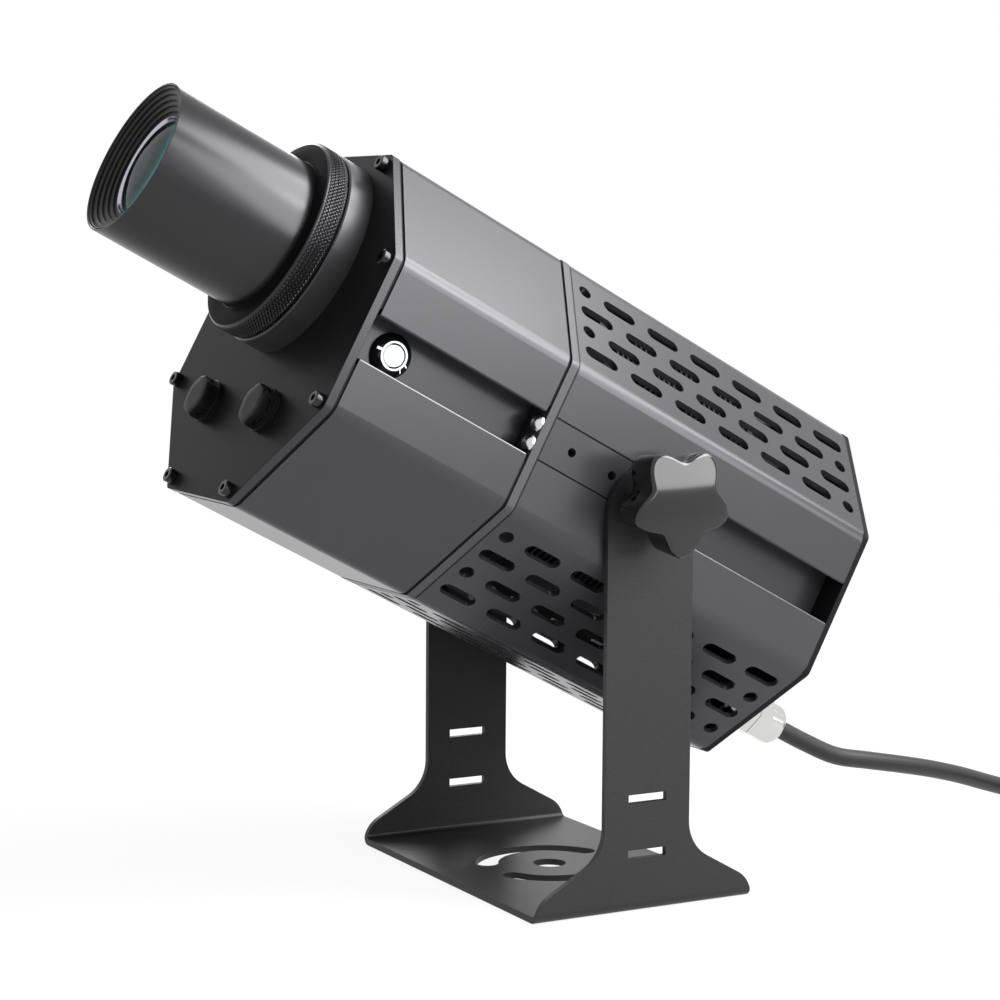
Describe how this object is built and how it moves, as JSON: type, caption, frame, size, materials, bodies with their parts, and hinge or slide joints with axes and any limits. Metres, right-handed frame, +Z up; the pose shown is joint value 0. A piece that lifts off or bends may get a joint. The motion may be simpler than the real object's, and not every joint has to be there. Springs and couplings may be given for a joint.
{
  "type": "gobo projector",
  "caption": "Outdoor gobo projector: a vented octagonal aluminium head with a focusing lens barrel, tilting in a steel yoke between star knobs, with a power button, cable gland and mains cord.",
  "frame": {"origin": "centre of the yoke base's middle hole, in the plane that the base stands on", "axes": "+X towards the side with the power button, -Y towards the lens, +Z up from the base"},
  "size_m": [0.2787, 0.64, 0.3743],
  "materials": {
    "coated_steel": "fine-textured powder coat, satin",
    "anodised_housing": "dark grey anodised, satin, fine extrusion lines",
    "anodised_plate": "dark anodised, satin, with light machined edges",
    "black_aluminium": "black anodised, turned",
    "bare_aluminium": "mill finish",
    "knob_plastic": "glossy moulded",
    "button_bezel": "glossy black bezel",
    "lit_cap": "translucent white",
    "black_plastic": "moulded, matt",
    "potted_case": "plain grey case filled with potting",
    "seal_rubber": "smooth dark rubber",
    "cord_sheath": "smooth satin sheath",
    "fibre": "pressed fibre",
    "stainless_steel": "bright stainless",
    "black_steel": "blackened",
    "nickel_brass": "nickel-plated brass, satin",
    "lens_glass": "coated lens glass",
    "led_board": "metal-core board with a phosphor disc",
    "etched_steel": "thin etched sheet",
    "pin_brass": "bright"
  },
  "bodies": {
    "yoke": {"yoke_bracket": "coated_steel", "friction_discs": "fibre", "knob_washers": "stainless_steel", "cord_lead": "cord_sheath", "cord_coil": "cord_sheath", "cord_tie": "black_plastic", "mains_plug": "black_plastic", "plug_pins": "pin_brass"},
    "near_clamp": {"near_knob": "knob_plastic", "near_stud": "stainless_steel"},
    "far_clamp": {"far_knob": "knob_plastic", "far_stud": "stainless_steel"},
    "ring": {"focus_ring": "black_aluminium"},
    "barrel": {"lens_barrel": "black_aluminium", "front_lens": "lens_glass", "front_lens_ring": "black_aluminium", "rear_lens": "lens_glass", "rear_lens_ring": "black_aluminium"},
    "button": {"button_cap": "lit_cap"},
    "fan": {"fan_rotor": "black_plastic"},
    "head": {"sliding_nuts": "anodised_housing", "front_plate": "anodised_plate", "front_gasket": "seal_rubber", "front_plate_screws": "black_steel", "breather_plugs": "black_aluminium", "breather_seals": "seal_rubber", "breather_nuts": "black_steel", "front_housing": "anodised_housing", "button_body": "button_bezel", "button_nut": "stainless_steel", "mid_gasket": "seal_rubber", "mid_plate": "anodised_plate", "mid_plate_screws": "black_steel", "groove_bars": "anodised_housing", "bar_end_screws": "stainless_steel", "bar_grub_screws": "black_steel", "rear_housing": "anodised_housing", "rear_plate": "anodised_plate", "rear_plate_screws": "black_steel", "gland_body": "nickel_brass", "gland_nut": "nickel_brass", "gland_seal": "seal_rubber", "gland_locknut": "nickel_brass", "lens_collar": "black_aluminium", "collar_screws": "black_steel", "guide_pin": "stainless_steel", "gobo_holder": "black_aluminium", "gobo": "etched_steel", "gobo_clip": "stainless_steel", "condenser_tube": "black_aluminium", "condenser_lenses": "lens_glass", "condenser_spacer": "black_aluminium", "light_reflector": "bare_aluminium", "led_module": "led_board", "heat_sink": "bare_aluminium", "heat_sink_posts": "stainless_steel", "fan_frame": "black_plastic", "inner_screws": "stainless_steel", "led_driver": "potted_case"}
  },
  "joints": [
    {"name": "head_tilt", "type": "hinge", "parent": "yoke", "child": "head", "pos_m": [0, 0, 0.1915], "axis": [-1, 0, 0], "range_deg": [-70, 60], "deforming": ["cord_lead"]},
    {"name": "near_knob_turn", "type": "hinge", "parent": "head", "child": "near_clamp", "pos_m": [0.1, 0, 0.1915], "axis": [1, 0, 0], "range_deg": [0, 360]},
    {"name": "far_knob_turn", "type": "hinge", "parent": "head", "child": "far_clamp", "pos_m": [-0.1, 0, 0.1915], "axis": [-1, 0, 0], "range_deg": [0, 360]},
    {"name": "focus_turn", "type": "hinge", "parent": "head", "child": "ring", "pos_m": [0, -0.1401, 0.30302], "axis": [0, -0.8838, 0.4679], "range_deg": [-180, 180]},
    {"name": "barrel_slide", "type": "slide", "parent": "head", "child": "barrel", "axis": [0, -0.8838, 0.4679], "range_m": [-0.009, 0.009]},
    {"name": "button_press", "type": "slide", "parent": "head", "child": "button", "axis": [-1, 0, 0], "range_m": [0, 0.0015], "stiffness_N_per_m": 600, "springref_m": -0.003},
    {"name": "fan_spin", "type": "hinge", "parent": "head", "child": "fan", "pos_m": [0, 0.07018, 0.17018], "axis": [0, -0.8838, 0.4679], "continuous": true}
  ],
  "couplings": [
    {"joint": "barrel_slide", "follows": "focus_turn", "m_per_rad": 0.0028648}
  ]
}
